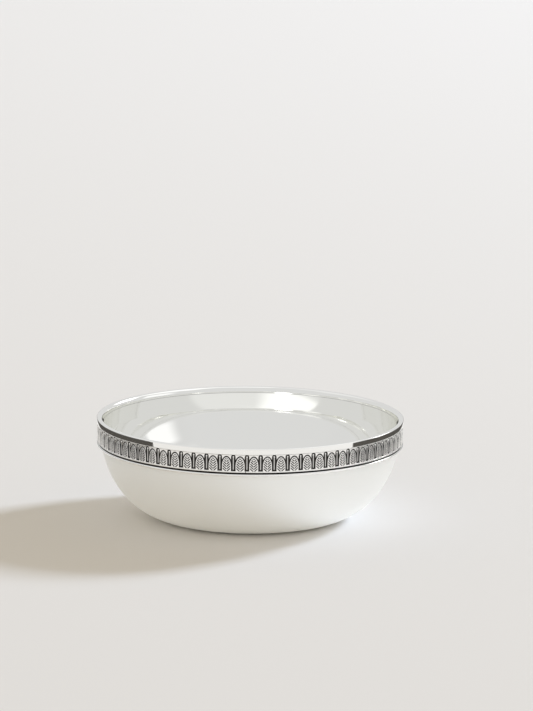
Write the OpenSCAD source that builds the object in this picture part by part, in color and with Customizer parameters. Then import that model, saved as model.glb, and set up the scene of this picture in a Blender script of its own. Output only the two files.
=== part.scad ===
// Offering bowl in polished silver: a spun bowl with a soldered border of
// rim moulding, leaf-and-dart frieze strip and half-round wire.
// The bowl stands on Z = 0 with its axis on Z, and -Y is its front.

/* [Bowl] */
// Diameter over the border
bowl_d = 130; // [110:1:160]
// Height from the table to the top of the rim
bowl_h = 42.4; // [36:0.2:52]
// Diameter of the flat that the bowl stands on
base_d = 67; // [54:0.2:78]
// Thickness of the spun sheet
wall = 1; // [0.7:0.1:1.4]
// Depth under the rim at which the upright collar ends and the side starts to curve in
shoulder_drop = 9.4; // [7:0.2:11]
// How far above the shoulder the centre of the side's curve lies, which gives the slight crease
side_rise = 6; // [3:0.5:9]
// Height of the shallow push-up in the middle of the base
push_up = 0.5; // [0.3:0.1:0.8]
// Width of the ring that touches the table, outside the push-up
foot_land = 5; // [3:0.5:8]

/* [Border] */
// How far the border stands out from the wall of the bowl
border_t = 1.6; // [1.3:0.1:2.2]
// Height of the plain rim moulding
rim_h = 2.4; // [2:0.1:3]
// Width that the mouth opens by at the rounded lip
lip_flare = 1.1; // [0.8:0.05:1.4]
// Radius on the outer edges of the rim moulding
rim_edge_r = 0.3; // [0.15:0.05:0.5]
// Height of the ornamented field of the strip
field_h = 6.8; // [6:0.1:8]
// Height of the plain fillet under the field
fillet_h = 0.7; // [0.5:0.1:1]
// How far the fillet stands in from the rim moulding
fillet_set_in = 0.1; // [0.05:0.05:0.3]
// Height of the shadow groove between strip and wire
groove_h = 0.6; // [0.4:0.1:0.9]
// Height of the half-round wire
wire_h = 1; // [0.8:0.1:1.4]
// Thickness of the solder in the joints
solder_t = 0.1; // [0.05:0.01:0.15]
// Width of the soldered butt joint in the strip
seam_w = 0.12; // [0.08:0.02:0.2]

/* [Frieze] */
// Number of leaves round the bowl, and of darts
leaf_count = 72; // [64:1:80]
// Height of the relief above its ground
relief = 0.45; // [0.3:0.05:0.6]
// How far the leaves stay under the fillet's face
leaf_set_in = 0.05; // [0.02:0.01:0.1]
// Share of the pitch that a leaf fills
leaf_width_share = 0.68; // [0.62:0.01:0.7]
// Gap between the top of a leaf and the top of the field
leaf_head_gap = 1.05; // [0.8:0.05:1.3]
// Height of the pointed arch at the head of a leaf
leaf_head_h = 3.8; // [3:0.1:4.4]
// Gap between the foot of a leaf and the fillet
leaf_foot_gap = 0.15; // [0.1:0.05:0.3]
// Number of chevron veins up the middle of a leaf
vein_count = 3; // [2:1:3]
// Slope of the veins above the horizontal
vein_angle = 42; // [36:1:48]
// Depth of the hollows between the veins
vein_depth = 0.22; // [0.1:0.02:0.26]
// Width of the shaft of a dart
dart_w = 0.6; // [0.4:0.05:0.7]
// Diameter of the bead on top of a dart
bead_d = 0.9; // [0.7:0.05:1]
// Gap between the bead and the top of the field
bead_head_gap = 0.4; // [0.3:0.05:0.7]
// Gap between the foot of a dart and the fillet
dart_foot_gap = 0.6; // [0.4:0.05:0.8]
// How far the shaft of a dart stays under its bead and the leaves
dart_set_in = 0.1; // [0.05:0.05:0.2]
// Width of the sunk channel that parts the spandrels from leaves and beads
channel_w = 0.5; // [0.3:0.05:0.6]
// Gap between the top of a spandrel and the top of the field
spandrel_head_gap = 0.1; // [0.05:0.05:0.2]

/* [Hidden] */
$fn = 96;
// Facets of the curves that hollow the bowl, fine enough for thin solder to follow them
bowl_fn = 360;
// Straight steps in one side of a leaf's arch
arch_steps = 3;
// Sides of a bead
bead_fn = 6;
// Share of a bead's width that is flat on top
bead_top_share = 0.5;
// Length by which a cut runs past the face that it cuts
over = 0.5;

bowl_r = bowl_d / 2;
base_r = base_d / 2;
shell_r = bowl_r - border_t;
mouth_r = shell_r - wall;
strip_back_r = shell_r + solder_t;
shoulder_z = bowl_h - shoulder_drop;
side_centre_z = shoulder_z + side_rise;
push_up_r = base_r - foot_land;

// Heights of the border's joints, from the rim down
rim_z = bowl_h - rim_h;
strip_top_z = rim_z - solder_t;
field_z = strip_top_z - field_h;
strip_z = field_z - fillet_h;
wire_top_z = strip_z - groove_h;
wire_z = wire_top_z - wire_h;

// Radii of the border's faces
fillet_r = bowl_r - fillet_set_in;
leaf_r = fillet_r - leaf_set_in;
ground_r = leaf_r - relief;

// Sizes of one repeat of the frieze
turn = 360 / leaf_count;
pitch = 2 * leaf_r * tan(turn / 2);
leaf_w = pitch * leaf_width_share;
leaf_h = field_h - leaf_head_gap;
leaf_half_w = leaf_w / 2;
arch_y = leaf_h - leaf_head_h;
vein_pitch = leaf_h / vein_count;
bead_y = field_h - bead_head_gap - bead_d / 2;
spandrel_half_w = pitch / 2 - bead_d / 2 - channel_w;
seam_turn = (turn / 2 - atan(leaf_half_w / leaf_r) + atan(dart_w / 2 / leaf_r)) / 2;

// Region enclosed by the bowl's outside, drawn in by inset: the side is an elliptical arc
// that meets the upright collar at the shoulder
module bowl_region(inset, top) {
    side_h = side_centre_z - inset;
    side_w = (shell_r - base_r - inset) / sqrt(1 - pow(side_rise / side_h, 2));
    translate([base_r, side_centre_z])
        intersection() {
            scale([side_w, side_h]) circle(r = 1, $fn = bowl_fn);
            translate([0, -side_centre_z]) square([side_w, shoulder_z]);
        }
    translate([0, inset]) square([base_r, shoulder_z - inset]);
    translate([0, shoulder_z]) square([shell_r - inset, top - shoulder_z]);
}

// Segment of a large circle over the axis, which rises to height over a half width
module crown(half_width, height, start_z) {
    crown_r = (pow(half_width, 2) + pow(height, 2)) / (2 * height);
    intersection() {
        translate([0, start_z + height - crown_r]) circle(r = crown_r, $fn = bowl_fn);
        translate([0, start_z - over]) square([half_width, height + 2 * over]);
    }
}

// Bowl spun from one disc of sheet, with a pushed-up base
module bowl_shell() {
    color("silver")
    rotate_extrude()
    difference() {
        union() {
            difference() {
                bowl_region(0, strip_top_z);
                bowl_region(wall, strip_top_z + over);
            }
            intersection() {
                crown(push_up_r, push_up, wall);
                translate([0, wall - over]) square([base_r, push_up + 2 * over]);
            }
        }
        crown(push_up_r, push_up, 0);
    }
}

// Moulding that caps the wall and the strip: rounded lip inside, plain fascia outside
module rim_moulding() {
    color("gainsboro")
    rotate_extrude()
    difference() {
        union() {
            translate([mouth_r + lip_flare, rim_z])
                intersection() {
                    scale([lip_flare, rim_h]) circle(r = 1);
                    translate([-lip_flare, 0]) square([lip_flare, rim_h]);
                }
            translate([mouth_r + lip_flare, rim_z])
                square([bowl_r - rim_edge_r - mouth_r - lip_flare, rim_h]);
            translate([bowl_r - 2 * rim_edge_r, rim_z + rim_edge_r])
                square([2 * rim_edge_r, rim_h - 2 * rim_edge_r]);
            for (edge_z = [rim_z + rim_edge_r, bowl_h - rim_edge_r])
                translate([bowl_r - rim_edge_r, edge_z]) circle(r = rim_edge_r);
        }
        translate([0, rim_z - over]) square([mouth_r, rim_h + 2 * over]);
    }
}

// Section of the strip without its ornament: ground above, fillet below.
// Its back is set out so that the flats of the bent strip clear the solder.
module strip_section() {
    back_r = strip_back_r / cos(turn / 2);
    translate([back_r, strip_z])
        square([ground_r - back_r, strip_top_z - strip_z]);
    translate([back_r, strip_z])
        square([fillet_r - back_r, fillet_h]);
}

// Points up the right side of a leaf's arch, set out by a margin
function arch_points(margin) =
    [for (i = [0 : arch_steps])
        let (a = 90 * i / arch_steps)
        [(leaf_half_w + margin) * cos(a), arch_y + (leaf_head_h + margin) * sin(a)]];

// Height of the arch at a distance from the midrib, set out by a margin
function arch_height(x, margin) =
    arch_y + (leaf_head_h + margin) * sqrt(max(0, 1 - pow(x / (leaf_half_w + margin), 2)));

// Half of a leaf's outline, from the midrib out: upright side and pointed arch
module half_leaf_outline() {
    polygon(concat([[0, leaf_foot_gap], [leaf_half_w, leaf_foot_gap]], arch_points(0)));
}

// Ridges that run up and out from the midrib, with the hollows between them
module veins() {
    step = vein_pitch * cos(vein_angle);
    top = relief - vein_depth;
    rotate([0, 0, vein_angle])
    rotate([90, 0, 90])
    translate([0, 0, -pitch])
    linear_extrude(2 * pitch)
    polygon(concat(
        [for (i = [-vein_count : vein_count])
            each [[i * step, top], [(i + 0.5) * step, relief]]],
        [[(vein_count + 0.5) * step, -over], [-vein_count * step, -over]]));
}

// Leaf at an angle from the front: two halves that meet in the midrib
module leaf(angle) {
    rotate([0, 0, angle])
    translate([0, -ground_r, field_z])
    rotate([90, 0, 0])
    for (side = [0, 1])
        mirror([side, 0, 0])
        intersection() {
            translate([0, 0, -over])
            linear_extrude(relief + 2 * over)
                half_leaf_outline();
            veins();
        }
}

// Spandrel at an angle from the front: plain face over a leaf, between two beads.
module spandrel(angle) {
    tip = [spandrel_half_w, arch_height(spandrel_half_w, channel_w)];
    under = [for (p = arch_points(channel_w)) if (p[0] < spandrel_half_w) p];
    side = concat([[spandrel_half_w, field_h - spandrel_head_gap], tip], under);
    rotate([0, 0, angle])
    translate([0, -ground_r, field_z])
    rotate([90, 0, 0])
    translate([0, 0, -relief / 2])
    linear_extrude(relief / 2 + relief)
        polygon(concat(side, [for (i = [len(side) - 2 : -1 : 0]) [-side[i][0], side[i][1]]]));
}

// Dart at an angle from the front: a ridged shaft with a bead on top
module dart(angle) {
    height = relief - dart_set_in;
    sunk = relief / 2;
    root_w = dart_w * (height + sunk) / height;
    rotate([0, 0, angle])
    translate([0, -ground_r, field_z]) {
        translate([0, 0, dart_foot_gap])
        linear_extrude(bead_y - dart_foot_gap)
            polygon([[-root_w / 2, sunk], [0, -height], [root_w / 2, sunk]]);
        translate([0, sunk, bead_y])
        rotate([90, 0, 0])
        hull() {
            cylinder(h = sunk / 2, d = bead_d, $fn = bead_fn);
            cylinder(h = sunk + relief, d = bead_d * bead_top_share, $fn = bead_fn);
        }
    }
}

// Slot of the butt joint, in the channel beside the front dart
module seam_slot() {
    rotate([0, 0, -seam_turn])
    translate([-seam_w / 2, -bowl_r - over, strip_z - over])
        cube([seam_w, border_t + 2 * over, strip_top_z - strip_z + 2 * over]);
}

// Strip with its relief of leaves, darts and spandrels, bent round the wall with a flat to each leaf
module frieze_strip() {
    color("darkgray")
    difference() {
        union() {
            rotate([0, 0, -90]) rotate_extrude($fn = leaf_count) strip_section();
            for (i = [0 : leaf_count - 1]) {
                leaf((i + 0.5) * turn);
                spandrel((i + 0.5) * turn);
                dart(i * turn);
            }
        }
        seam_slot();
    }
}

// Solder that closes the butt joint of the strip
module frieze_seam() {
    color("dimgray")
    intersection() {
        rotate_extrude() strip_section();
        seam_slot();
    }
}

// Half-round wire under the shadow groove
module half_round_wire() {
    wire_r = wire_h / 2;
    color("gainsboro")
    rotate_extrude() {
        translate([strip_back_r, wire_z])
            square([fillet_r - wire_r - strip_back_r, wire_h]);
        translate([fillet_r - wire_r, wire_z + wire_r]) circle(r = wire_r);
    }
}

// Solder under the rim moulding
module rim_solder() {
    color("dimgray")
    rotate_extrude()
    translate([mouth_r, strip_top_z])
        square([ground_r - mouth_r, solder_t]);
}

// Film of solder between the wall and a piece that stands from one height to another
module wall_solder(low, high) {
    color("dimgray")
    rotate_extrude()
    difference() {
        translate([base_r, low]) square([strip_back_r - base_r, high - low]);
        bowl_region(0, strip_top_z + over);
    }
}

// Solder behind the strip
module frieze_solder() {
    wall_solder(strip_z, strip_top_z);
}

// Solder behind the wire
module wire_solder() {
    wall_solder(wire_z, wire_top_z);
}

bowl_shell();
rim_moulding();
frieze_strip();
frieze_seam();
half_round_wire();
rim_solder();
frieze_solder();
wire_solder();
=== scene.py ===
"""Offering bowl in polished silver, dressed round its CAD frame.

The bowl is a spun shell under a soldered border: a plain rim moulding, a rolled strip with a
leaf-and-dart frieze, and a half-round wire. Every length is in metres, in the frame of the CAD
model: the bowl stands on Z = 0 with its axis on Z, and -Y is its front.
"""
from __future__ import annotations

import logging
import math
from dataclasses import dataclass
from enum import Enum
from typing import Callable

import bpy
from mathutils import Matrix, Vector


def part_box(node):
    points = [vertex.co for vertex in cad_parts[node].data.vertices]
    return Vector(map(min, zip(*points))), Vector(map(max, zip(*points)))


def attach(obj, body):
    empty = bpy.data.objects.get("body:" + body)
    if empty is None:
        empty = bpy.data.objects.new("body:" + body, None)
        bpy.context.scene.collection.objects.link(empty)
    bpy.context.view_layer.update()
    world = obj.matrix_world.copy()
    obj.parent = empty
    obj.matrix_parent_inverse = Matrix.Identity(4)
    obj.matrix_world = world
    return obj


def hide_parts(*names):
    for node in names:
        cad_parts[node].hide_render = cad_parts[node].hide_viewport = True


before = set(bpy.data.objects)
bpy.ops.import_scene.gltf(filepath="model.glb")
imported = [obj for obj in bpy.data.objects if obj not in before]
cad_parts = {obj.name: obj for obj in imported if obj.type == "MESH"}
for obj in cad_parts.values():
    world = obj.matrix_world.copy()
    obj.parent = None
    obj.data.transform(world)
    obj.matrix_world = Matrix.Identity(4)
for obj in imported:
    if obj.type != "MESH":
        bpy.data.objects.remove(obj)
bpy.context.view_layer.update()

LOG = logging.getLogger("offering_bowl")
BODY = "root"
MM = 0.001
# Thickness of the sheet that the shell is spun from
SHEET = 1.0 * MM
# Steps of a full turn of the spin operator
SPIN_STEPS = 288
# Distances within which a cut meets a point, and two points become one
CUT_THRESHOLD = 0.0001 * MM
MERGE_DISTANCE = 1e-7
# Angle between two faces, in degrees, past which their edge stays sharp
SHARP_ANGLE = 35.0
# Distance of a brace from the end of a straight, and the shortest straight that is braced
BRACE = 0.12 * MM
BRACED_FROM = 6 * BRACE
# A face whose normal has less height than this counts as upright
UPRIGHT = 0.001

# A radius and a height, an X and a Z, or the two ends of a range
Pair = tuple[float, float]
Triple = tuple[float, float, float]
FaceTest = Callable[[Vector, Vector], bool]


class Slot(Enum):
    """Names of the material slots that the pieces stand for; adopt is given one but reads nothing from it.
    """

    POLISHED = "polished_silver"
    MOULDING = "moulding_silver"
    OXIDISED = "oxidised_silver"
    SOLDER = "silver_solder"


class Select(Enum):
    """What is selected in edit mode."""

    POINTS = "VERT"
    EDGES = "EDGE"
    FACES = "FACE"


def srgb(hex_colour: str) -> tuple[float, float, float, float]:
    """Turns a colour written as sRGB hex into the linear values that Blender works in.

    Args:
        hex_colour: six hex digits after a hash, such as "#f2efe9".

    Returns:
        Linear red, green, blue and an alpha of one.
    """
    channels = [int(hex_colour[i : i + 2], 16) / 255 for i in (1, 3, 5)]
    linear = [c / 12.92 if c <= 0.04045 else ((c + 0.055) / 1.055) ** 2.4 for c in channels]
    return (*linear, 1.0)


def add_node(tree: bpy.types.NodeTree, kind: str, inputs: dict[str | int, object] | None = None,
             **settings: object) -> bpy.types.Node:
    """Adds one node with its settings, values and links.

    Args:
        tree: node tree that takes the node.
        kind: the node's type, such as "ShaderNodeMath".
        inputs: socket name or index to a value, or to the output socket to link from.
        **settings: attributes of the node itself.

    Returns:
        The new node.
    """
    node = tree.nodes.new(kind)
    for name, value in settings.items():
        setattr(node, name, value)
    for name, value in (inputs or {}).items():
        if isinstance(value, bpy.types.NodeSocket):
            tree.links.new(value, node.inputs[name])
        else:
            node.inputs[name].default_value = value
    return node


def new_material(name: str) -> tuple[bpy.types.Material, bpy.types.NodeTree, bpy.types.Node]:
    """Makes an empty material with a Principled shader on its output.

    Args:
        name: the real material and how its surface was made.

    Returns:
        The material, its node tree and the shader node.
    """
    material = bpy.data.materials.new(name)
    material.use_nodes = True
    tree = material.node_tree
    tree.nodes.clear()
    shader = add_node(tree, "ShaderNodeBsdfPrincipled")
    add_node(tree, "ShaderNodeOutputMaterial", {"Surface": shader.outputs["BSDF"]})
    return material, tree, shader


@dataclass(frozen=True)
class PolishedSilver:
    """Silver that was spun or drawn and then polished, to a mirror or to a soft satin.

    The eye sees the room in it, bent by the form. Polishing leaves a very faint waviness and
    fine hairlines, which soften the reflections: a little on a mirror, and wholly on satin. Real
    hairlines are under a tenth of a millimetre wide, so they are drawn coarser in order to show.
    """

    name: str
    colour: str = "#fbfbf9"
    roughness: float = 0.035
    roughness_spread: float = 0.03
    wave_width: float = 14 * MM
    wave_depth: float = 0.004 * MM
    hairline_width: float = 0.5 * MM
    hairline_stretch: float = 14.0
    hairline_detail: float = 4.0
    hairline_breakup: float = 0.7
    hairline_range: Pair = (0.35, 0.75)

    def material(self) -> bpy.types.Material:
        """Builds the node material.

        Returns:
            The material.
        """
        material, tree, shader = new_material(self.name)
        place = add_node(tree, "ShaderNodeTexCoord").outputs["Object"]
        # Hairlines run round the bowl, so their pattern is squeezed along the height.
        squeezed = add_node(tree, "ShaderNodeMapping",
                            {"Vector": place, "Scale": (1, 1, self.hairline_stretch)})
        hairlines = add_node(tree, "ShaderNodeTexNoise",
                             {"Vector": squeezed.outputs["Vector"],
                              "Scale": 1 / self.hairline_width / self.hairline_stretch,
                              "Detail": self.hairline_detail, "Roughness": self.hairline_breakup})
        faint, strong = self.hairline_range
        rough = add_node(tree, "ShaderNodeMapRange",
                         {"Value": hairlines.outputs["Fac"], "From Min": faint, "From Max": strong,
                          "To Min": self.roughness, "To Max": self.roughness + self.roughness_spread})
        waves = add_node(tree, "ShaderNodeTexNoise",
                         {"Vector": place, "Scale": 1 / self.wave_width, "Detail": 0.0})
        bump = add_node(tree, "ShaderNodeBump",
                        {"Height": waves.outputs["Fac"], "Strength": 1.0, "Distance": self.wave_depth})
        shader.inputs["Base Color"].default_value = srgb(self.colour)
        shader.inputs["Metallic"].default_value = 1.0
        tree.links.new(rough.outputs["Result"], shader.inputs["Roughness"])
        tree.links.new(bump.outputs["Normal"], shader.inputs["Normal"])
        return material


@dataclass(frozen=True)
class OxidisedSilver:
    """Rolled silver relief, darkened with oxide and then rubbed bright on its high points.

    The eye sees a black drawing in bright metal: the ground of the relief stays dark and rough,
    and the leaves, beads and fillets shine. It turns from dark to bright between two distances
    from the axis, and is bare metal from bare_share of the way on.
    """

    name: str
    dark_radius: float
    bright_radius: float
    bright: str = "#faf9f7"
    dark: str = "#2a2724"
    rough_dark: float = 0.5
    rough_bright: float = 0.25
    oxide_metallic: float = 0.4
    bare_share: float = 0.3

    def material(self) -> bpy.types.Material:
        """Builds the node material.

        Returns:
            The material.
        """
        material, tree, shader = new_material(self.name)
        place = add_node(tree, "ShaderNodeTexCoord").outputs["Object"]
        flat = add_node(tree, "ShaderNodeVectorMath", {0: place, 1: (1.0, 1.0, 0.0)}, operation="MULTIPLY")
        radius = add_node(tree, "ShaderNodeVectorMath", {0: flat.outputs["Vector"]}, operation="LENGTH")
        shine = add_node(tree, "ShaderNodeMapRange",
                         {"Value": radius.outputs["Value"], "From Min": self.dark_radius,
                          "From Max": self.bright_radius, "To Min": 0.0, "To Max": 1.0})
        colour = add_node(tree, "ShaderNodeMix",
                          {"Factor": shine.outputs["Result"], "A": srgb(self.dark), "B": srgb(self.bright)},
                          data_type="RGBA")
        rough = add_node(tree, "ShaderNodeMapRange",
                         {"Value": shine.outputs["Result"], "To Min": self.rough_dark,
                          "To Max": self.rough_bright})
        metal = add_node(tree, "ShaderNodeMapRange",
                         {"Value": shine.outputs["Result"], "From Max": self.bare_share,
                          "To Min": self.oxide_metallic, "To Max": 1.0})
        tree.links.new(colour.outputs["Result"], shader.inputs["Base Color"])
        tree.links.new(rough.outputs["Result"], shader.inputs["Roughness"])
        tree.links.new(metal.outputs["Result"], shader.inputs["Metallic"])
        return material


@dataclass(frozen=True)
class GrooveShadeSilver:
    """Silver in the narrow shadow groove, coloured dark as painted shade for the shade that falls in it,
    with a soft sheen.
    """

    name: str
    # Painted shade: a dark colour that stands in for the shade deep in the groove
    colour: str = "#4a4641"
    roughness: float = 0.45

    def material(self) -> bpy.types.Material:
        """Builds the node material.

        Returns:
            The material.
        """
        material, _, shader = new_material(self.name)
        shader.inputs["Base Color"].default_value = srgb(self.colour)
        shader.inputs["Metallic"].default_value = 1.0
        shader.inputs["Roughness"].default_value = self.roughness
        return material


@dataclass(frozen=True)
class TarnishedSolder:
    """Silver solder that flowed into a joint, dull because no polishing wheel reaches it.

    The eye sees a grey-brown line of uneven gloss. Its grain is drawn coarser than the real one,
    which is too fine to show.
    """

    name: str
    colour: str = "#6b6660"
    roughness: float = 0.45
    roughness_spread: float = 0.1
    grain: float = 0.4 * MM
    grain_detail: float = 2.0

    def material(self) -> bpy.types.Material:
        """Builds the node material.

        Returns:
            The material.
        """
        material, tree, shader = new_material(self.name)
        place = add_node(tree, "ShaderNodeTexCoord").outputs["Object"]
        grain = add_node(tree, "ShaderNodeTexNoise",
                         {"Vector": place, "Scale": 1 / self.grain, "Detail": self.grain_detail})
        rough = add_node(tree, "ShaderNodeMapRange",
                         {"Value": grain.outputs["Fac"], "To Min": self.roughness - self.roughness_spread,
                          "To Max": self.roughness + self.roughness_spread})
        shader.inputs["Base Color"].default_value = srgb(self.colour)
        shader.inputs["Metallic"].default_value = 1.0
        tree.links.new(rough.outputs["Result"], shader.inputs["Roughness"])
        return material


def deselect_all() -> None:
    """Leaves nothing selected, so that the next operator acts on its own piece alone."""
    if bpy.context.object and bpy.context.object.mode != "OBJECT":
        bpy.ops.object.mode_set(mode="OBJECT")
    bpy.ops.object.select_all(action="DESELECT")


def select_only(piece: bpy.types.Object) -> None:
    """Selects one piece alone and makes it the active one.

    Args:
        piece: the piece.
    """
    deselect_all()
    piece.select_set(True)
    bpy.context.view_layer.objects.active = piece


def enter_edit(piece: bpy.types.Object, mode: Select = Select.POINTS) -> None:
    """Selects one piece alone and opens it in edit mode, with all of it selected.

    Args:
        piece: the piece to open.
        mode: what is selected in it.
    """
    select_only(piece)
    bpy.ops.object.mode_set(mode="EDIT")
    bpy.ops.mesh.select_mode(type=mode.value)
    bpy.ops.mesh.select_all(action="SELECT")


def leave_edit() -> None:
    """Goes back to object mode."""
    bpy.ops.object.mode_set(mode="OBJECT")


def named(name: str) -> bpy.types.Object:
    """Names the piece that an operator has just added or joined.

    Args:
        name: its name, which its mesh takes too.

    Returns:
        The piece.
    """
    piece = bpy.context.object
    piece.name = piece.data.name = name
    return piece


def apply_place(piece: bpy.types.Object) -> None:
    """Moves a piece's place, turn and scale into its mesh.

    Args:
        piece: the piece.
    """
    select_only(piece)
    bpy.ops.object.transform_apply(location=True, rotation=True, scale=True)


def apply_modifiers(piece: bpy.types.Object) -> None:
    """Applies every modifier of a piece, in their order.

    Args:
        piece: the piece.
    """
    select_only(piece)
    for modifier in list(piece.modifiers):
        bpy.ops.object.modifier_apply(modifier=modifier.name)


def finish_mesh(piece: bpy.types.Object) -> None:
    """Merges doubled points, turns the faces outwards and smooths all but the sharp edges.

    Args:
        piece: the piece.
    """
    enter_edit(piece)
    bpy.ops.mesh.remove_doubles(threshold=MERGE_DISTANCE)
    bpy.ops.mesh.normals_make_consistent(inside=False)
    leave_edit()
    bpy.ops.object.shade_smooth_by_angle(angle=math.radians(SHARP_ANGLE))


def draw_section(name: str, points: list[Pair], closed: bool) -> bpy.types.Object:
    """Draws a section in the XZ plane by extruding one vertex along it.

    Args:
        name: name of the piece.
        points: radius and height of each point of the section, in metres.
        closed: whether the last point joins the first.

    Returns:
        The piece, an edge chain.
    """
    deselect_all()
    bpy.ops.mesh.primitive_plane_add(size=MM, location=(0, 0, 0))
    piece = named(name)
    enter_edit(piece)
    bpy.ops.mesh.merge(type="CENTER")
    bpy.ops.transform.translate(value=(points[0][0], 0, points[0][1]))
    for (r0, z0), (r1, z1) in zip(points, points[1:]):
        bpy.ops.mesh.extrude_vertices_move(TRANSFORM_OT_translate={"value": (r1 - r0, 0, z1 - z0)})
    if closed:
        leave_edit()
        piece.data.vertices[0].select = True
        piece.data.vertices[len(points) - 1].select = True
        bpy.ops.object.mode_set(mode="EDIT")
        bpy.ops.mesh.edge_face_add()
    leave_edit()
    return piece


def spin_section(piece: bpy.types.Object) -> None:
    """Turns the section of a piece once round the bowl's axis. finish_mesh then closes its poles.

    Args:
        piece: the section, an edge chain.
    """
    enter_edit(piece)
    bpy.ops.mesh.spin(steps=SPIN_STEPS, angle=2 * math.pi, use_auto_merge=True, center=(0, 0, 0),
                      axis=(0, 0, 1))
    leave_edit()


def arc(centre: Pair, radii: Pair, start: float, end: float, steps: int) -> list[Pair]:
    """Points on an elliptical arc in the section plane.

    Args:
        centre: radius and height of the arc's centre.
        radii: half axes along the radius and along the height.
        start: first angle, in degrees from the outward direction.
        end: last angle, in degrees.
        steps: number of steps between them.

    Returns:
        The points, both ends among them.
    """
    turn = [math.radians(start + (end - start) * i / steps) for i in range(steps + 1)]
    return [(centre[0] + radii[0] * math.cos(a), centre[1] + radii[1] * math.sin(a)) for a in turn]


def braced(points: list[Pair]) -> list[Pair]:
    """Adds a point near both ends of each long straight, so that smooth shading keeps it straight.

    Args:
        points: radius and height of each point of a section.

    Returns:
        The section with the added points.
    """
    result = [points[0]]
    for start, end in zip(points, points[1:]):
        length = math.dist(start, end)
        if length > BRACED_FROM:
            for share in (BRACE / length, 1 - BRACE / length):
                result.append((start[0] + share * (end[0] - start[0]),
                               start[1] + share * (end[1] - start[1])))
        result.append(end)
    return result


def select_faces(piece: bpy.types.Object, test: FaceTest) -> None:
    """Opens a piece in edit mode with only some of its faces selected.

    Args:
        piece: the piece to open.
        test: says of a face's centre and normal whether the face is wanted.
    """
    select_only(piece)
    mesh = piece.data
    mesh.vertices.foreach_set("select", [False] * len(mesh.vertices))
    mesh.edges.foreach_set("select", [False] * len(mesh.edges))
    mesh.polygons.foreach_set("select", [test(face.center, face.normal) for face in mesh.polygons])
    bpy.context.tool_settings.mesh_select_mode = (False, False, True)
    bpy.ops.object.mode_set(mode="EDIT")


def draw_face(name: str, outline: list[Pair], out: float) -> bpy.types.Object:
    """Draws a flat face in the XZ plane that looks along -Y.

    Args:
        name: name of the piece.
        outline: X and Z of each point, counterclockwise as seen from the front.
        out: distance of the face in front of the plane Y = 0.

    Returns:
        The piece, one face.
    """
    piece = draw_section(name, outline, closed=True)
    enter_edit(piece)
    bpy.ops.mesh.edge_face_add()
    bpy.ops.transform.translate(value=(0, -out, 0))
    leave_edit()
    if piece.data.polygons[0].normal.y > 0:
        enter_edit(piece)
        bpy.ops.mesh.flip_normals()
        leave_edit()
    return piece


def close_back(piece: bpy.types.Object, depth: float) -> None:
    """Gives a relief face its sides and its back.

    Args:
        piece: a relief that is open behind.
        depth: how far its edge is drawn back along +Y.
    """
    enter_edit(piece, Select.EDGES)
    bpy.ops.mesh.select_all(action="DESELECT")
    bpy.ops.mesh.select_non_manifold()
    bpy.ops.mesh.extrude_edges_move(TRANSFORM_OT_translate={"value": (0, depth, 0)})
    bpy.ops.mesh.edge_face_add()
    leave_edit()


def join_pieces(name: str, pieces: list[bpy.types.Object]) -> bpy.types.Object:
    """Joins pieces into the first of them.

    Args:
        name: name of the joined piece.
        pieces: the pieces.

    Returns:
        The joined piece.
    """
    deselect_all()
    for piece in pieces:
        piece.select_set(True)
    bpy.context.view_layer.objects.active = pieces[0]
    bpy.ops.object.join()
    return named(name)


def adopt(piece: bpy.types.Object, slot: Slot, material: bpy.types.Material, *nodes: str) -> None:
    """Puts a finished piece in the place of its CAD nodes and reports it.

    Args:
        piece: the finished piece.
        slot: the material slot that it stands for; not used.
        material: its material.
        *nodes: CAD nodes that it stands for.
    """
    piece.data.materials.clear()
    piece.data.materials.append(material)
    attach(piece, BODY)
    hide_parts(*nodes)
    LOG.info("%s: %d faces, in place of %s", piece.name, len(piece.data.polygons), ", ".join(nodes))


def dress_faces(piece: bpy.types.Object, material: bpy.types.Material, test: FaceTest) -> None:
    """Gives some faces of a finished piece a second material.

    Args:
        piece: the piece, with its main material in its first slot.
        material: the second material.
        test: says of a face's centre and normal whether the face takes it.
    """
    piece.data.materials.append(material)
    select_faces(piece, test)
    piece.active_material_index = len(piece.data.materials) - 1
    bpy.ops.object.material_slot_assign()
    leave_edit()


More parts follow.
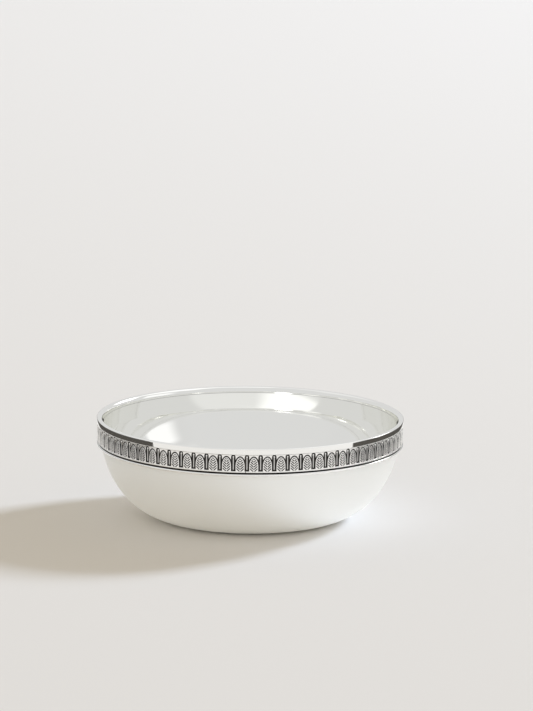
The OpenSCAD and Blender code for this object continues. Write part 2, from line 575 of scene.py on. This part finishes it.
@dataclass
class BowlShell:
    """The bowl itself, spun from one disc of sheet."""

    finish: PolishedSilver
    outer_finish: PolishedSilver
    groove_shade_finish: GrooveShadeSilver
    shoulder_drop: float = 9.4 * MM
    side_rise: float = 6.0 * MM
    base_radius: float = 33.5 * MM
    push_up: float = 0.5 * MM
    foot_land: float = 5.0 * MM
    # Steps short enough that the curves aren't braced, which would flatten them
    side_steps: int = 84
    crown_steps: int = 42

    def __post_init__(self) -> None:
        """Reads the shell's outer size and the edges of the groove from the frame."""
        low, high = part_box("bowl_shell")
        self.top = high[2]
        self.radius = high[0]
        self.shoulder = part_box("rim_moulding")[1][2] - self.shoulder_drop
        self.groove = (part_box("half_round_wire")[1][2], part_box("frieze_strip")[0][2])

    def crown(self, lift: float) -> list[Pair]:
        """Points of the push-up from the axis out.

        Args:
            lift: height of the base's face above the table.

        Returns:
            Radius and height of each point.
        """
        half = self.base_radius - self.foot_land
        round_r = (half ** 2 + self.push_up ** 2) / (2 * self.push_up)
        radii = [half * i / self.crown_steps for i in range(self.crown_steps + 1)]
        return [(r, lift + self.push_up - round_r + math.sqrt(round_r ** 2 - r ** 2)) for r in radii]

    def side(self, inset: float) -> list[Pair]:
        """Points of the curved side from the base up to the collar.

        Args:
            inset: how far it is drawn in from the outer face.

        Returns:
            Radius and height of each point.
        """
        height = self.shoulder + self.side_rise - inset
        rise_share = self.side_rise / height
        radii = ((self.radius - self.base_radius - inset) / math.sqrt(1 - rise_share ** 2), height)
        return arc((self.base_radius, self.shoulder + self.side_rise), radii, -90,
                   -math.degrees(math.asin(rise_share)), self.side_steps)

    def build(self) -> bpy.types.Object:
        """Spins the sheet's section: from the axis along its outside to the rim, and back inside.

        Returns:
            The shell.
        """
        outside = self.crown(0) + self.side(0) + [(self.radius, self.top)]
        inside = self.crown(SHEET) + self.side(SHEET) + [(self.radius - SHEET, self.top)]
        piece = draw_section("spun_bowl", braced(outside + inside[::-1]), closed=False)
        spin_section(piece)
        self.ring_groove(piece)
        finish_mesh(piece)
        adopt(piece, Slot.POLISHED, self.finish.material(), "bowl_shell")
        dress_faces(piece, self.outer_finish.material(),
                    lambda centre, normal: normal.z < -UPRIGHT or normal.xy.dot(centre.xy) > 0)
        # Painted shade: the wall between the groove's edges gets the dark groove colour
        low, high = self.groove
        dress_faces(piece, self.groove_shade_finish.material(),
                    lambda centre, _: low < centre.z < high and centre.xy.length > self.radius - SHEET / 2)
        return piece

    def ring_groove(self, piece: bpy.types.Object) -> None:
        """Cuts a ring into the wall at each edge of the shadow groove, between which it gets painted shade.

        Args:
            piece: the shell.
        """
        for height in self.groove:
            enter_edit(piece)
            bpy.ops.mesh.bisect(plane_co=(0, 0, height), plane_no=(0, 0, 1), threshold=CUT_THRESHOLD)
            leave_edit()


@dataclass
class RimMoulding:
    """The plain moulding that caps the wall and the strip."""

    finish: PolishedSilver
    lip_flare: float = 1.1 * MM
    edge_radius: float = 0.3 * MM
    foot_radius: float = 0.08 * MM
    lip_steps: int = 14
    edge_steps: int = 8

    def __post_init__(self) -> None:
        """Reads the moulding's height and radii from the frame."""
        low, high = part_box("rim_moulding")
        self.low, self.high, self.radius = low[2], high[2], high[0]
        self.mouth_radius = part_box("bowl_shell")[1][0] - SHEET

    def build(self) -> bpy.types.Object:
        """Spins the section: rounded lip inside, flat top, plain fascia with rounded edges.

        Returns:
            The moulding.
        """
        height = self.high - self.low
        edge, foot = self.edge_radius, self.foot_radius
        lip = arc((self.mouth_radius + self.lip_flare, self.low), (self.lip_flare, height), 180, 90,
                  self.lip_steps)
        upper = arc((self.radius - edge, self.high - edge), (edge, edge), 90, 0, self.edge_steps)
        lower = arc((self.radius - foot, self.low + foot), (foot, foot), 0, -90, self.edge_steps)
        piece = draw_section("rim_capping", braced(lip + upper + lower + lip[:1])[:-1], closed=True)
        spin_section(piece)
        finish_mesh(piece)
        adopt(piece, Slot.MOULDING, self.finish.material(), "rim_moulding")
        return piece


@dataclass
class FriezeStrip:
    """The rolled strip: leaf-and-dart relief between the rim moulding and a plain fillet.

    One leaf, one dart and the spandrel above them are modelled flat, as on the roll that presses
    them: X runs along the strip, -Y out of its face and Z up from the foot of the relief. They are
    then repeated, bent round the bowl and set on the spun ground.
    """

    finish: OxidisedSilver
    bead_finish: PolishedSilver
    leaf_count: int = 72
    fillet_height: float = 0.7 * MM
    fillet_round: float = 0.3 * MM
    fillet_steps: int = 4
    leaf_set_in: float = 0.05 * MM
    relief: float = 0.45 * MM
    sunk: float = 0.2 * MM
    seam_width: float = 0.12 * MM
    # Leaf
    leaf_half: float = 1.86 * MM
    leaf_height: float = 5.8 * MM
    head_height: float = 3.9 * MM
    edge_slopes: tuple[Pair, ...] = ((0.03 * MM, 0.05 * MM), (0.05 * MM, 0.03 * MM))
    rim_width: float = 0.24 * MM
    blade_margin: float = 0.9
    midrib_half: float = 0.08 * MM
    head_steps: int = 12
    vein_slope: float = 43.0
    vein_pitch: float = 1.04 * MM
    vein_first: float = -0.3 * MM
    vein_hollows: int = 6
    hollow_width: float = 0.44 * MM
    hollow_wall: float = 0.04 * MM
    hollow_depth: float = 0.42 * MM
    # Dart
    shaft_half: float = 0.34 * MM
    shaft_rise: float = 0.34 * MM
    shaft_sides: int = 12
    shaft_foot: float = 0.6 * MM
    bead_radius: float = 0.43 * MM
    bead_height: float = 5.95 * MM
    bead_segments: int = 16
    bead_foot: float = 0.1 * MM
    # Spandrel
    channel: float = 0.5 * MM
    channel_half: float = 0.95 * MM
    bead_steps: int = 8
    flat_border: float = 0.02 * MM

    def __post_init__(self) -> None:
        """Reads the strip's heights, face and butt joint from the frame."""
        low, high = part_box("frieze_strip")
        self.low, self.top, self.fillet_radius = low[2], high[2], high[0]
        self.field = self.low + self.fillet_height
        self.field_height = self.top - self.field
        self.ground_radius = self.fillet_radius - self.leaf_set_in - self.relief
        # The CAD strip is bent in one flat for each leaf, which sets its back out from the solder.
        self.back_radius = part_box("frieze_solder")[1][0] / math.cos(math.pi / self.leaf_count)
        self.pitch = 2 * math.pi * self.ground_radius / self.leaf_count
        self.edge_width = sum(width for width, _ in self.edge_slopes)
        self.edge_rise = sum(rise for _, rise in self.edge_slopes)
        seam_low, seam_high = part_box("frieze_seam")
        self.seam_turn = math.atan2((seam_low[1] + seam_high[1]) / 2, (seam_low[0] + seam_high[0]) / 2)

    def slope_edges(self) -> None:
        """Rounds the border of the selected face with two narrow slopes, as a roll leaves it."""
        for width, rise in self.edge_slopes:
            bpy.ops.mesh.inset(thickness=width, depth=rise)

    def hollow_line(self, number: float) -> float:
        """Height at which a line between the veins meets the middle of the leaf."""
        return self.vein_first + number * self.vein_pitch

    def in_blade(self, centre: Vector) -> bool:
        """Says whether a point of the leaf lies inside its rim.

        Args:
            centre: the point.

        Returns:
            True inside the rim.
        """
        # An ellipse that is inset evenly is no longer an ellipse, hence the margin.
        border = self.blade_margin * (self.rim_width + self.edge_width)
        across = (centre.x / (self.leaf_half - border)) ** 2
        up = max(0.0, (centre.z - self.leaf_height + self.head_height) / (self.head_height - border)) ** 2
        return across + up < 1

    def in_hollow(self, centre: Vector) -> bool:
        """Says whether a point of the leaf lies between two veins.

        Args:
            centre: the point.

        Returns:
            True between two veins.
        """
        slope = math.radians(self.vein_slope)
        height = centre.z - abs(centre.x) * math.tan(slope)
        number = round((height - self.vein_first) / self.vein_pitch)
        return (self.in_blade(centre) and abs(centre.x) > self.midrib_half
                and 0 <= number < self.vein_hollows
                and abs(height - self.hollow_line(number)) < self.hollow_width / 2 / math.cos(slope))

    def cut_blade(self, piece: bpy.types.Object, point: Triple, normal: Triple,
                  test: Callable[[Vector], bool]) -> None:
        """Cuts the faces inside a leaf's rim along a plane.

        Args:
            piece: the leaf.
            point: a point on the plane.
            normal: the plane's normal.
            test: says of a face's centre whether the face is cut.
        """
        select_faces(piece, lambda centre, _: self.in_blade(centre) and test(centre))
        bpy.ops.mesh.bisect(plane_co=point, plane_no=normal, threshold=CUT_THRESHOLD)
        leave_edit()

    def leaf(self) -> bpy.types.Object:
        """Models a leaf: its blade is inset, cut along midrib and veins, and hollowed between them.

        Returns:
            The leaf.
        """
        foot = -(self.rim_width + self.edge_width)
        outline = [(-self.leaf_half, foot), (self.leaf_half, foot)]
        outline += arc((0, self.leaf_height - self.head_height), (self.leaf_half, self.head_height),
                       0, 180, 2 * self.head_steps)
        piece = draw_face("leaf", outline, self.relief - self.edge_rise)
        enter_edit(piece, Select.FACES)
        self.slope_edges()
        bpy.ops.mesh.inset(thickness=self.rim_width, depth=0)
        leave_edit()
        slope = math.radians(self.vein_slope)
        half = self.hollow_width / 2 / math.cos(slope)
        lines = [self.hollow_line(i) + edge for i in range(self.vein_hollows) for edge in (-half, half)]
        for side in (-1, 1):
            self.cut_blade(piece, (side * self.midrib_half, 0, 0), (1, 0, 0), lambda centre: True)
        for side in (-1, 1):
            for line in lines:
                self.cut_blade(piece, (0, 0, line), (-side * math.sin(slope), 0, math.cos(slope)),
                               lambda centre: side * centre.x > self.midrib_half)
        select_faces(piece, lambda centre, _: self.in_hollow(centre))
        bpy.ops.mesh.inset(thickness=self.hollow_wall, depth=-self.hollow_depth, use_individual=True)
        leave_edit()
        close_back(piece, self.relief - self.edge_rise + self.sunk)
        return piece

    def spandrel(self) -> bpy.types.Object:
        """Models the plain ground between a leaf's arch and the two beads beside it.

        Returns:
            The spandrel.
        """
        half_pitch = self.pitch / 2
        bead_gap = self.bead_radius + self.channel
        arch = (self.leaf_half + self.channel, self.head_height + self.channel)
        tip = half_pitch - self.channel_half
        tip_turn = math.degrees(math.acos(tip / arch[0]))
        bead_end = 180 - math.degrees(math.asin((self.field_height - self.bead_height) / bead_gap))
        bead_start = 180 - math.degrees(math.acos(min(1.0, self.channel_half / bead_gap)))
        right = arc((0, self.leaf_height - self.head_height), arch, 90, tip_turn, self.head_steps)
        right += arc((half_pitch, self.bead_height), (bead_gap, bead_gap), bead_start, bead_end,
                     self.bead_steps)
        left = [(-x, z) for x, z in reversed(right[1:])]
        piece = draw_face("spandrel", right + left, self.relief - self.edge_rise)
        enter_edit(piece, Select.FACES)
        self.slope_edges()
        bpy.ops.mesh.inset(thickness=self.flat_border, depth=0)
        leave_edit()
        close_back(piece, self.relief - self.edge_rise + self.sunk)
        return piece

    def dart(self) -> bpy.types.Object:
        """Models a dart: a round shaft under a round bead, both half sunk in the ground.

        Returns:
            The dart.
        """
        deselect_all()
        bpy.ops.mesh.primitive_circle_add(vertices=self.shaft_sides, radius=self.shaft_half,
                                          fill_type="NGON", location=(0, 0, self.shaft_foot))
        shaft = named("dart")
        apply_place(shaft)
        enter_edit(shaft)
        bpy.ops.transform.resize(value=(1, self.shaft_rise / self.shaft_half, 1))
        bpy.ops.mesh.extrude_region_move(
            TRANSFORM_OT_translate={"value": (0, 0, self.bead_height - self.shaft_foot)})
        leave_edit()
        bpy.ops.mesh.primitive_uv_sphere_add(segments=self.bead_segments,
                                             ring_count=self.bead_segments // 2, radius=self.bead_radius,
                                             location=(0, self.bead_radius - self.relief, self.bead_height))
        bead = named("bead")
        apply_place(bead)
        enter_edit(bead)
        bpy.ops.mesh.bisect(plane_co=(0, self.sunk, 0), plane_no=(0, 1, 0), use_fill=True, clear_outer=True,
                            threshold=CUT_THRESHOLD)
        leave_edit()
        dart = join_pieces("dart", [shaft, bead])
        dart.location.x = self.pitch / 2
        apply_place(dart)
        return dart

    def ornament(self) -> bpy.types.Object:
        """Repeats one leaf, dart and spandrel along the strip and bends them round the bowl.

        Returns:
            The whole ornament.
        """
        piece = join_pieces("ornament", [self.leaf(), self.spandrel(), self.dart()])
        row = piece.modifiers.new("row", "ARRAY")
        row.count = self.leaf_count
        row.use_relative_offset = False
        row.use_constant_offset = True
        row.constant_offset_displace = (self.pitch, 0, 0)
        apply_modifiers(piece)
        piece.location = (-(self.leaf_count - 1) / 2 * self.pitch, 0, self.field)
        apply_place(piece)
        bend = piece.modifiers.new("round_the_bowl", "SIMPLE_DEFORM")
        bend.deform_method = "BEND"
        bend.deform_axis = "Z"
        across = [corner[0] for corner in piece.bound_box]
        bend.angle = (max(across) - min(across)) / self.ground_radius
        apply_modifiers(piece)
        piece.location.y = -self.ground_radius
        apply_place(piece)
        return piece

    def ground(self) -> bpy.types.Object:
        """Spins the strip's section, short of a full turn by the butt joint.

        Returns:
            The ground and the fillet under it.
        """
        r = self.fillet_round
        section = [(self.back_radius, self.low)]
        section += arc((self.fillet_radius - r, self.low + r), (r, r), -90, 0, self.fillet_steps)
        section += arc((self.fillet_radius - r, self.field - r), (r, r), 0, 90, self.fillet_steps)
        section += [(self.ground_radius, self.field), (self.ground_radius, self.top),
                    (self.back_radius, self.top)]
        piece = draw_section("ground", section, closed=True)
        gap = self.seam_width / self.fillet_radius
        piece.rotation_euler.z = self.seam_turn + gap / 2
        apply_place(piece)
        enter_edit(piece)
        bpy.ops.mesh.spin(steps=SPIN_STEPS, angle=2 * math.pi - gap, center=(0, 0, 0), axis=(0, 0, 1))
        bpy.ops.mesh.select_all(action="SELECT")
        bpy.ops.mesh.fill_holes(sides=0)
        leave_edit()
        return piece

    def build(self) -> bpy.types.Object:
        """Sets the ornament on its ground.

        Returns:
            The strip.
        """
        piece = join_pieces("leaf_and_dart_strip", [self.ground(), self.ornament()])
        finish_mesh(piece)
        adopt(piece, Slot.OXIDISED, self.finish.material(), "frieze_strip")
        dress_faces(piece, self.bead_finish.material(), self.on_bead)
        return piece

    def on_bead(self, centre: Vector, normal: Vector) -> bool:
        """Says whether a face of the finished strip belongs to a bead.

        Args:
            centre: the face's centre.
            normal: its normal.

        Returns:
            True on a bead.
        """
        step = 2 * math.pi / self.leaf_count
        turn = math.atan2(centre.x, -centre.y) / step
        across = abs(turn - round(turn)) * step * self.ground_radius
        up = centre.z - self.field - self.bead_height
        return (math.hypot(across, up) < self.bead_radius
                and centre.xy.length > self.ground_radius + self.bead_foot)


@dataclass
class HalfRoundWire:
    """The plain bead wire under the shadow groove."""

    finish: PolishedSilver
    groove_shade_finish: GrooveShadeSilver
    round_steps: int = 16
    top_slope: float = 0.5

    def __post_init__(self) -> None:
        """Reads the wire's heights and radii from the frame."""
        low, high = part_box("half_round_wire")
        self.low, self.high, self.radius = low[2], high[2], high[0]
        self.back_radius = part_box("wire_solder")[1][0]

    def build(self) -> bpy.types.Object:
        """Spins the wire's half-round section, and paints shade on its top inside the groove.

        Returns:
            The wire.
        """
        half = (self.high - self.low) / 2
        nose = arc((self.radius - half, self.low + half), (half, half), 90, -90, self.round_steps)
        section = [(self.back_radius, self.high)] + nose + [(self.back_radius, self.low)]
        piece = draw_section("bead_wire", section, closed=True)
        spin_section(piece)
        finish_mesh(piece)
        adopt(piece, Slot.MOULDING, self.finish.material(), "half_round_wire")
        # Painted shade: the wire's top inside the groove gets the dark groove colour
        crest = self.radius - half
        dress_faces(piece, self.groove_shade_finish.material(),
                    lambda centre, normal: normal.z > self.top_slope and centre.xy.length < crest)
        return piece


@dataclass
class SolderJoints:
    """The films of solder in the joints, whose CAD solids stay as they are."""

    finish: TarnishedSolder
    nodes: tuple[str, ...] = ("frieze_seam", "rim_solder", "frieze_solder", "wire_solder")

    def build(self) -> None:
        """Gives the CAD solids the solder's finish."""
        material = self.finish.material()
        for name in self.nodes:
            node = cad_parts[name]
            for slot in node.material_slots:
                slot.material = material
            LOG.info("%s keeps its CAD solid, in %s", name, material.name)


@dataclass
class Table:
    """The pale table that the bowl stands on and mirrors.

    The eye sees one matt, even cloth, whose weave is too fine to show. In the silver it is nearly
    white and reaches from under the bowl to the front, with a dark table top beyond it.
    """

    colour: str = "#e3e1df"
    mirrored_colour: str = "#f2f1f0"
    dark_colour: str = "#4a4743"
    cloth_radius: float = 212 * MM
    cloth_front: float = -82 * MM
    cloth_turn: float = 3.7
    size: float = 12.0
    roughness: float = 0.9
    specular: float = 0.1

    def build(self) -> bpy.types.Object:
        """Adds the floor with its two-part material.

        Returns:
            The floor.
        """
        deselect_all()
        bpy.ops.mesh.primitive_plane_add(size=self.size, location=(0, 0, 0))
        floor = named("table")
        material, tree, shader = new_material("cotton_cloth_woven")
        place = add_node(tree, "ShaderNodeTexCoord").outputs["Object"]
        turn = math.radians(self.cloth_turn)
        depth = add_node(tree, "ShaderNodeVectorMath", {0: place, 1: (-math.sin(turn), math.cos(turn), 0)},
                         operation="DOT_PRODUCT")
        reach = add_node(tree, "ShaderNodeVectorMath", {0: place}, operation="LENGTH")
        off_cloth = add_node(tree, "ShaderNodeMath", {0: reach.outputs["Value"], 1: self.cloth_radius},
                             operation="GREATER_THAN")
        behind = add_node(tree, "ShaderNodeMath", {0: depth.outputs["Value"], 1: self.cloth_front},
                          operation="GREATER_THAN")
        bare = add_node(tree, "ShaderNodeMath", {0: off_cloth.outputs["Value"], 1: behind.outputs["Value"]},
                        operation="MULTIPLY")
        rays = add_node(tree, "ShaderNodeLightPath")
        mirrored = add_node(tree, "ShaderNodeMix",
                            {"Factor": bare.outputs["Value"], "A": srgb(self.mirrored_colour),
                             "B": srgb(self.dark_colour)}, data_type="RGBA")
        colour = add_node(tree, "ShaderNodeMix",
                          {"Factor": rays.outputs["Is Glossy Ray"], "A": srgb(self.colour),
                           "B": mirrored.outputs["Result"]}, data_type="RGBA")
        tree.links.new(colour.outputs["Result"], shader.inputs["Base Color"])
        shader.inputs["Roughness"].default_value = self.roughness
        shader.inputs["Specular IOR Level"].default_value = self.specular
        floor.data.materials.append(material)
        return floor


@dataclass(frozen=True)
class Patch:
    """A part of the room that the silver mirrors, which fades in and out over each of its edges.

    Azimuths are in degrees from the camera's side, with + to the right. An edge is the pair of
    angles between which the patch fades, and a patch without azimuths goes all the way round.
    """

    name: str
    radiance: float
    bottom: Pair
    top: Pair
    left: Pair | None = None
    right: Pair | None = None

    def lay_over(self, tree: bpy.types.NodeTree, azimuth: bpy.types.NodeSocket,
                 elevation: bpy.types.NodeSocket,
                 behind: bpy.types.NodeSocket | float) -> bpy.types.NodeSocket:
        """Covers what lies behind the patch with its own radiance.

        Args:
            tree: the world's nodes.
            azimuth: azimuth of the mirrored direction, in degrees.
            elevation: its elevation, in degrees.
            behind: radiance without the patch.

        Returns:
            Radiance with the patch.
        """
        cover = 1.0
        edges = [(elevation, self.bottom, 1), (elevation, self.top, 0),
                 (azimuth, self.left, 1), (azimuth, self.right, 0)]
        for angle, fade, inside in [edge for edge in edges if edge[1]]:
            share = add_node(tree, "ShaderNodeMapRange",
                             {"Value": angle, "From Min": fade[0], "From Max": fade[1],
                              "To Min": 1 - inside, "To Max": inside}, interpolation_type="SMOOTHSTEP")
            cover = add_node(tree, "ShaderNodeMath", {0: cover, 1: share.outputs["Result"]},
                             operation="MULTIPLY").outputs["Value"]
        mix = add_node(tree, "ShaderNodeMix", {"Factor": cover, "A": behind, "B": self.radiance},
                       data_type="FLOAT")
        return mix.outputs["Result"]


@dataclass
class KeyLamp:
    """The soft low lamp, which casts the bowl's shadow to the left.

    floor_share is the radiance that the lamp alone gives a white floor.
    """

    azimuth: float = 127.5
    elevation: float = 27.0
    spread: float = 10.0
    floor_share: float = 0.46
    colour: str = "#deebff"
    distance: float = 6.0

    def build(self) -> bpy.types.Object:
        """Adds the lamp as a square turned to the bowl. The silver mirrors the room's lamp_glow instead.

        Returns:
            The lamp.
        """
        light = bpy.data.lights.new("key_lamp", "AREA")
        light.shape = "SQUARE"
        light.size = 2 * self.distance * math.tan(math.radians(self.spread) / 2)
        turn, lift = math.radians(self.azimuth), math.radians(self.elevation)
        light.energy = self.floor_share * (math.pi * self.distance) ** 2 / math.sin(lift)
        light.color = srgb(self.colour)[:3]
        lamp = bpy.data.objects.new("key_lamp", light)
        toward = Vector((math.sin(turn) * math.cos(lift), -math.cos(turn) * math.cos(lift), math.sin(lift)))
        lamp.location = toward * self.distance
        lamp.rotation_euler = (-toward).to_track_quat("-Z", "Y").to_euler()
        lamp.visible_camera = False
        lamp.visible_glossy = False
        bpy.context.scene.collection.objects.link(lamp)
        return lamp


@dataclass
class Studio:
    """Plain soft light: a lamp that casts the shadow, and a pale room with windows for the silver."""

    room: str = "#fdfdfc"
    room_radiance: float = 0.85
    ambient: str = "#fff6e5"
    ambient_strength: float = 0.675
    glossy_bounces: int = 14
    max_bounces: int = 16
    patches: tuple[Patch, ...] = (
        Patch("lower_room", 0.72, (-91, -90), (30, 42)),
        Patch("front_room", 0.73, (-91, -90), (88, 90), (-78, -60), (48, 60)),
        Patch("high_window", 1.15, (38, 46), (74, 84), (50, 56), (135, 175)),
        Patch("low_window", 1.06, (5, 10), (24, 30), (60, 74), (92, 98)),
        Patch("lamp_glow", 5.0, (15, 23), (31, 39), (110, 122), (133, 145)),
        Patch("ceiling_lamp", 1.4, (77, 83), (91, 92)),
    )

    def build(self) -> None:
        """Adds the lamp and the world, in which matt things see one even light in place of the room."""
        KeyLamp().build()
        world = bpy.data.worlds.new("pale_room")
        bpy.context.scene.world = world
        world.use_nodes = True
        # Without light sampling each ray meets the world as its own kind: glossy or diffuse.
        world.cycles.sampling_method = "NONE"
        tree = world.node_tree
        tree.nodes.clear()
        toward = add_node(tree, "ShaderNodeTexCoord").outputs["Generated"]
        axes = add_node(tree, "ShaderNodeSeparateXYZ", {"Vector": toward})
        front = add_node(tree, "ShaderNodeMath", {0: axes.outputs["Y"], 1: -1.0}, operation="MULTIPLY")
        turn = add_node(tree, "ShaderNodeMath", {0: axes.outputs["X"], 1: front.outputs["Value"]},
                        operation="ARCTAN2")
        lift = add_node(tree, "ShaderNodeMath", {0: axes.outputs["Z"]}, operation="ARCSINE")
        azimuth, elevation = (add_node(tree, "ShaderNodeMath", {0: angle.outputs["Value"]},
                                       operation="DEGREES").outputs["Value"] for angle in (turn, lift))
        radiance = self.room_radiance
        for patch in self.patches:
            radiance = patch.lay_over(tree, azimuth, elevation, radiance)
        rays = add_node(tree, "ShaderNodeLightPath")
        matt = rays.outputs["Is Diffuse Ray"]
        colour = add_node(tree, "ShaderNodeMix",
                          {"Factor": matt, "A": srgb(self.room), "B": srgb(self.ambient)}, data_type="RGBA")
        strength = add_node(tree, "ShaderNodeMix",
                            {"Factor": matt, "A": radiance, "B": self.ambient_strength}, data_type="FLOAT")
        background = add_node(tree, "ShaderNodeBackground",
                              {"Color": colour.outputs["Result"], "Strength": strength.outputs["Result"]})
        add_node(tree, "ShaderNodeOutputWorld", {"Surface": background.outputs["Background"]})
        # Rays bounce along inside the bowl's wall many times before they leave it.
        bpy.context.scene.cycles.glossy_bounces = self.glossy_bounces
        bpy.context.scene.cycles.max_bounces = self.max_bounces


@dataclass
class PhotoCamera:
    """The camera, placed from where the photograph shows the rim."""

    width_px: int = 533
    height_px: int = 711
    rim_centre_px: Pair = (250.25, 416.8)
    px_per_mm: float = 2.358
    elevation: float = 11.96
    azimuth: float = 1.06
    roll: float = 0.5
    distance: float = 2.2
    sensor: float = 36.0
    clip_end: float = 100.0

    def build(self) -> bpy.types.Object:
        """Adds the camera, aimed so that the rim's centre falls on its pixel.

        Returns:
            The camera.
        """
        rim_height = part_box("rim_moulding")[1][2]
        target = Vector((0, 0, rim_height))
        a, e = math.radians(self.azimuth), math.radians(self.elevation)
        back = Vector((math.sin(a) * math.cos(e), -math.cos(a) * math.cos(e), math.sin(e)))
        data = bpy.data.cameras.new("photo_camera")
        focal_px = self.px_per_mm / MM * self.distance
        long_side = max(self.width_px, self.height_px)
        data.lens = focal_px * self.sensor / long_side
        data.sensor_width = self.sensor
        data.clip_end = self.clip_end
        camera = bpy.data.objects.new("photo_camera", data)
        camera.location = target + back * self.distance
        turn = (-back).to_track_quat("-Z", "Y").to_matrix().to_4x4()
        camera.rotation_euler = turn.to_euler()
        camera.rotation_euler.rotate_axis("Z", math.radians(self.roll))
        data.shift_x = (self.width_px / 2 - self.rim_centre_px[0]) / long_side
        data.shift_y = (self.rim_centre_px[1] - self.height_px / 2) / long_side
        data.dof.use_dof = False
        bpy.context.scene.collection.objects.link(camera)
        bpy.context.scene.camera = camera
        return camera


def main() -> None:
    """Builds the camera, the stage and every piece of the bowl."""
    logging.basicConfig(level=logging.INFO, format="%(name)s: %(message)s")
    PhotoCamera().build()
    Table().build()
    Studio().build()
    # The groove between the strip and the wire is coloured dark as painted shade
    groove_shade_finish = GrooveShadeSilver("silver_painted_shade_in_the_groove")
    BowlShell(PolishedSilver("silver_spun_and_mirror_polished"),
              PolishedSilver("silver_spun_and_satin_polished", roughness=0.72, roughness_spread=0.08),
              groove_shade_finish).build()
    RimMoulding(PolishedSilver("silver_moulding_mirror_polished")).build()
    FriezeStrip(OxidisedSilver("silver_strip_oxidised_and_rubbed", dark_radius=64.56 * MM,
                               bright_radius=64.79 * MM),
                PolishedSilver("silver_beads_rubbed_bright", roughness=0.12)).build()
    HalfRoundWire(PolishedSilver("silver_wire_mirror_polished"), groove_shade_finish).build()
    SolderJoints(TarnishedSolder("silver_solder_tarnished")).build()
    bpy.context.scene.view_settings.view_transform = "Standard"


if __name__ == "__main__":
    main()
